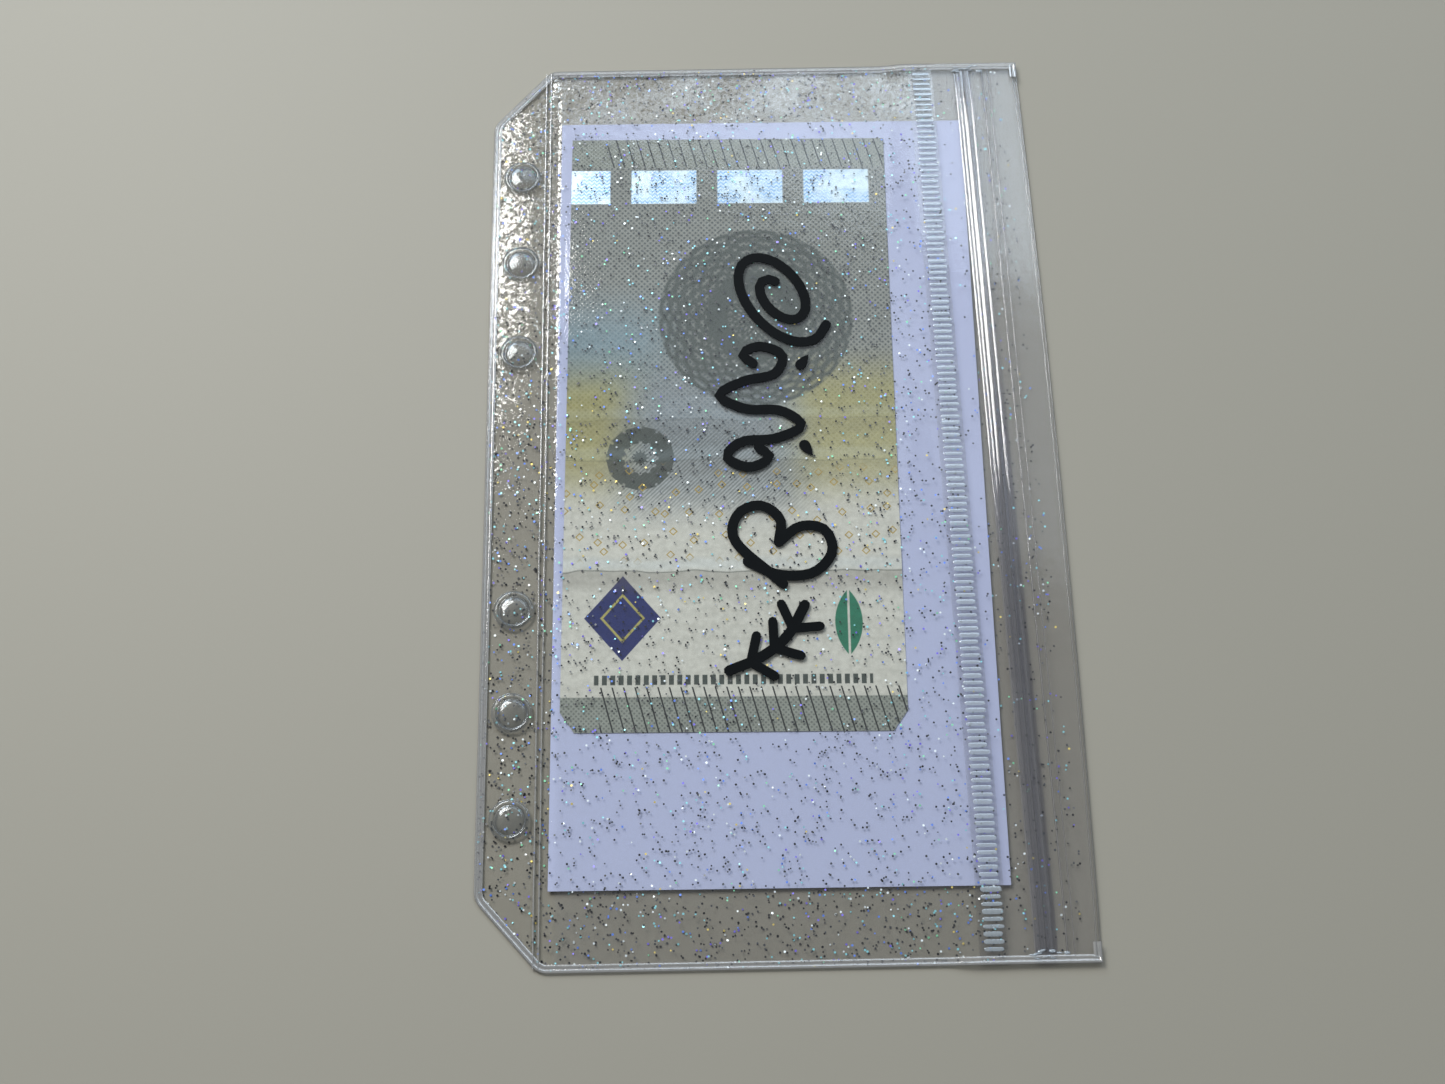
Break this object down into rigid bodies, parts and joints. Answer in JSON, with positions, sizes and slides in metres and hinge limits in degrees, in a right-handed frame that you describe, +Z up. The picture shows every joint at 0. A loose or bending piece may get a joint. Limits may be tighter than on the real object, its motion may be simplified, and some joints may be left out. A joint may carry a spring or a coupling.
{
  "type": "budget envelope",
  "caption": "Clear glitter-film zip pocket for a ring binder, holding a card and a paper note, with black vinyl ornaments on its front.",
  "frame": {"origin": "middle of the pocket's overall box, on the flat back face that it lies on", "axes": "+X from the binder margin towards the zip, +Y along the pocket's long side, +Z up through its front"},
  "size_m": [0.1076, 0.1776, 0.0022],
  "materials": {
    "clear_film": "clear soft vinyl film with fine glitter",
    "zip_plastic": "clear extruded zip tape",
    "white_card": "smooth matt card",
    "printed_paper": "matt printed paper with creases",
    "black_vinyl": "satin black self-adhesive vinyl"
  },
  "bodies": {
    "root": {"back_film": "clear_film", "front_film": "clear_film", "back_zip_tape": "zip_plastic", "front_zip_tape": "zip_plastic", "card_insert": "white_card", "paper_note": "printed_paper", "vinyl_scroll": "black_vinyl", "vinyl_wave": "black_vinyl", "vinyl_drop_upper": "black_vinyl", "vinyl_drop_lower": "black_vinyl", "vinyl_heart": "black_vinyl", "vinyl_twig": "black_vinyl"}
  },
  "joints": []
}
